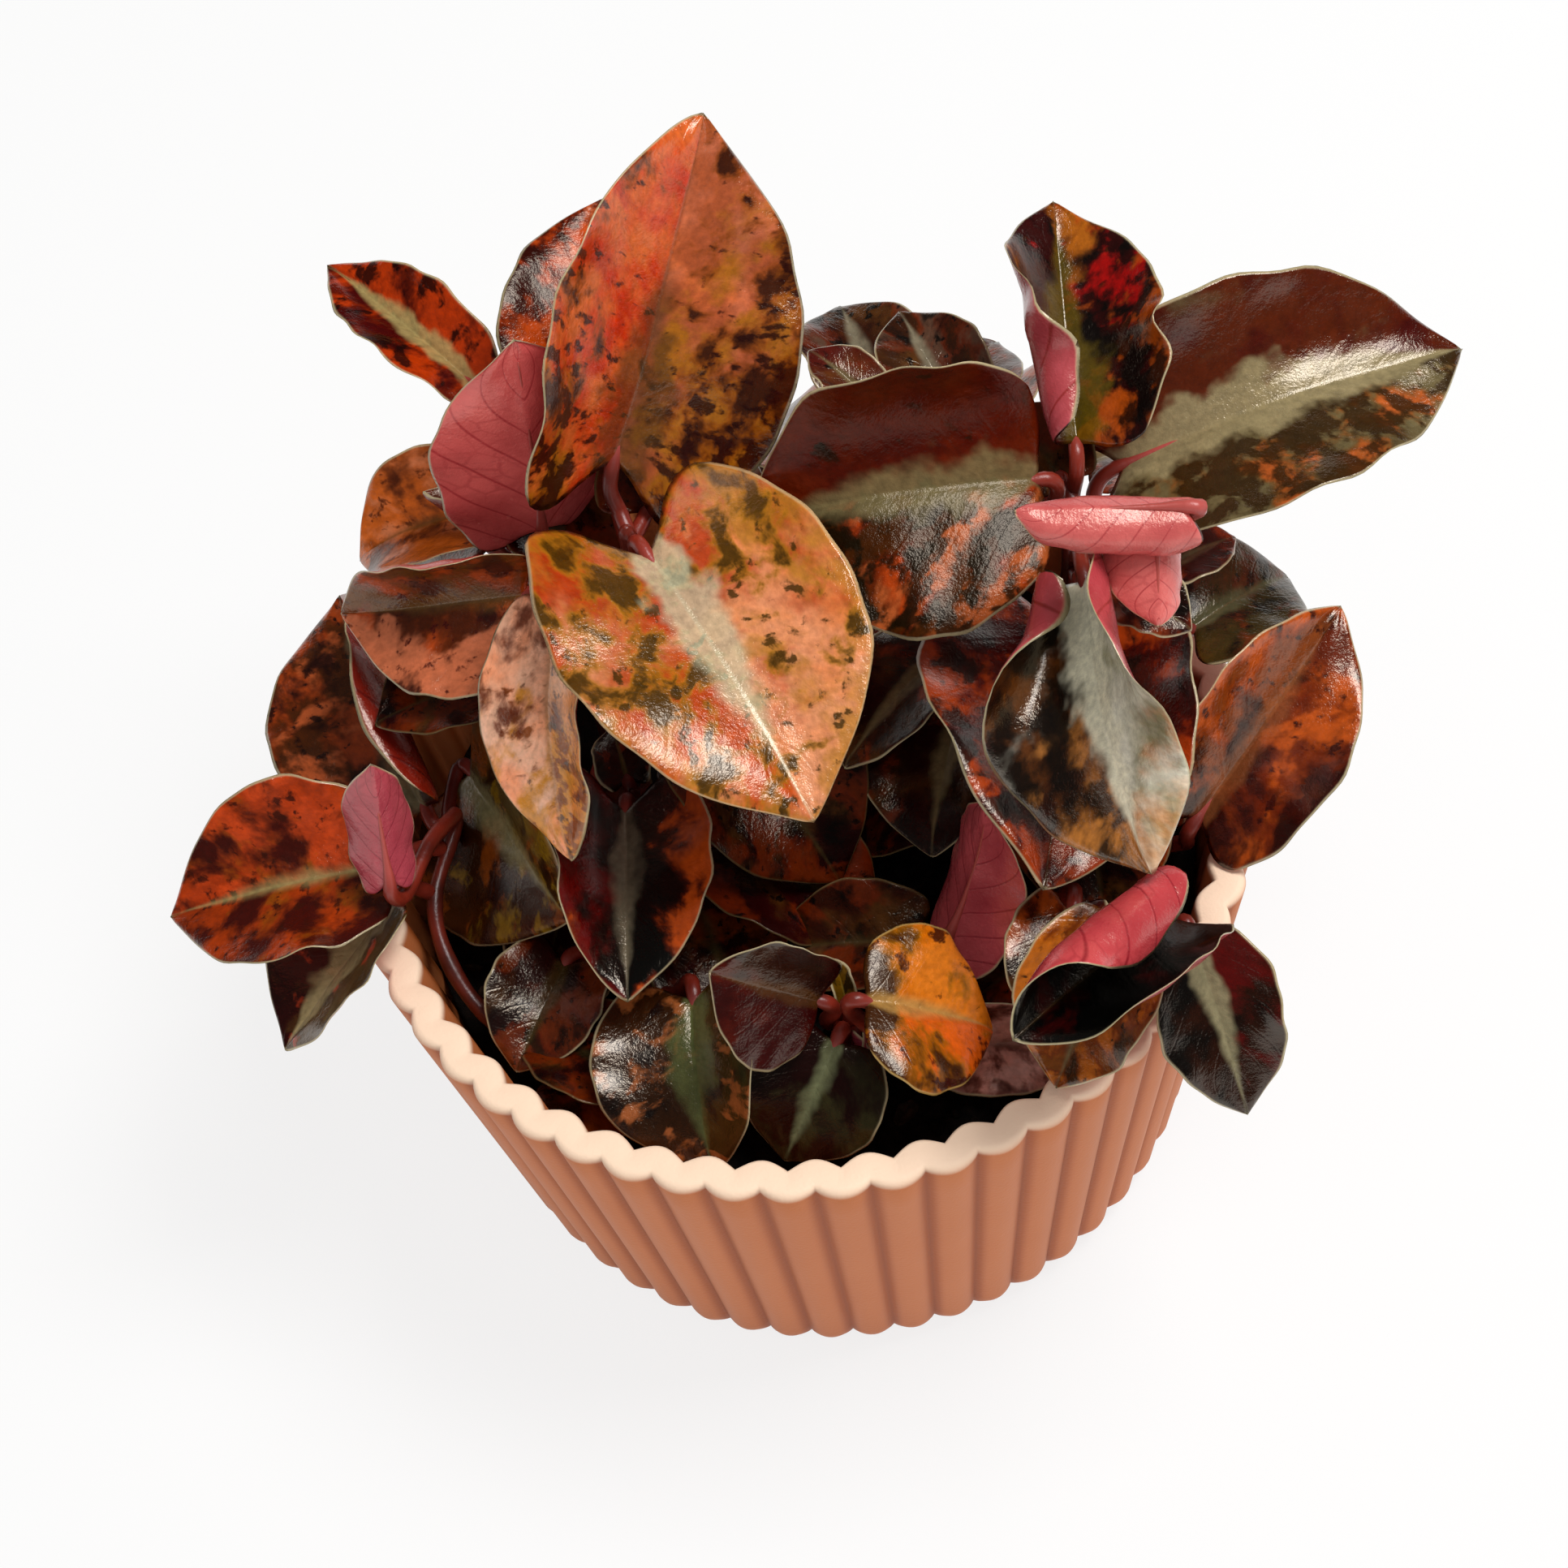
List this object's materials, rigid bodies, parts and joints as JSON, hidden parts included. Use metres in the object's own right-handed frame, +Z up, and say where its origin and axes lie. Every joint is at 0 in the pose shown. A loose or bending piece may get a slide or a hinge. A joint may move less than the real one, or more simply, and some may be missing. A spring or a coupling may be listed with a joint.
{
  "type": "potted peperomia plant",
  "caption": "Low potted peperomia with broad waxy leaves, blotched orange, red, gold and dark brown, on red stems in dark soil, in a dusty pink round pot with upright flutes.",
  "frame": {"origin": "centre of the pot's flat base, on the surface it stands on", "axes": "+Z up; the plant's fullest, most open side faces -Y; +X to the right seen from there"},
  "size_m": [0.1565, 0.1192, 0.1178],
  "materials": {
    "clay_pink": "matte",
    "dark_soil": "damp crumbly peat and bark mix",
    "red_stem": "smooth, slightly glossy",
    "waxy_leaf": "waxy gloss"
  },
  "bodies": {
    "root": {"pot": "clay_pink", "soil": "dark_soil", "tall_stem": "red_stem", "tall_leaf_1": "waxy_leaf", "tall_leaf_2": "waxy_leaf", "tall_leaf_3": "waxy_leaf", "left_stem": "red_stem", "left_leaf_1": "waxy_leaf", "left_leaf_2": "waxy_leaf", "left_leaf_3": "waxy_leaf", "left_leaf_4": "waxy_leaf", "low_left_stem": "red_stem", "low_left_leaf_1": "waxy_leaf", "low_left_leaf_2": "waxy_leaf", "low_left_leaf_3": "waxy_leaf", "low_left_leaf_4": "waxy_leaf", "low_left_leaf_5": "waxy_leaf", "inner_stem": "red_stem", "inner_leaf_1": "waxy_leaf", "right_stem": "red_stem", "right_leaf_1": "waxy_leaf", "right_leaf_2": "waxy_leaf", "right_leaf_3": "waxy_leaf", "right_leaf_4": "waxy_leaf", "right_leaf_5": "waxy_leaf", "right_leaf_6": "waxy_leaf", "right_leaf_7": "waxy_leaf", "right_leaf_8": "waxy_leaf", "right_leaf_9": "waxy_leaf", "right_leaf_10": "waxy_leaf", "right_edge_stem": "red_stem", "right_edge_leaf_1": "waxy_leaf", "right_edge_leaf_2": "waxy_leaf", "back_stem": "red_stem", "back_leaf_1": "waxy_leaf", "back_leaf_2": "waxy_leaf", "back_leaf_3": "waxy_leaf", "front_right_stem": "red_stem", "front_right_leaf_1": "waxy_leaf", "front_right_leaf_2": "waxy_leaf", "front_right_leaf_3": "waxy_leaf", "front_stem": "red_stem", "front_leaf_1": "waxy_leaf", "front_leaf_2": "waxy_leaf", "front_leaf_3": "waxy_leaf", "front_low_stem": "red_stem", "front_low_leaf_1": "waxy_leaf", "front_low_leaf_2": "waxy_leaf", "front_low_leaf_3": "waxy_leaf", "front_left_stem": "red_stem", "front_left_leaf_1": "waxy_leaf", "front_left_leaf_2": "waxy_leaf", "back_left_stem": "red_stem", "back_left_leaf_1": "waxy_leaf", "back_left_leaf_2": "waxy_leaf", "back_left_leaf_3": "waxy_leaf", "back_right_stem": "red_stem", "back_right_leaf_1": "waxy_leaf", "back_right_leaf_2": "waxy_leaf", "back_right_leaf_3": "waxy_leaf"}
  },
  "joints": []
}
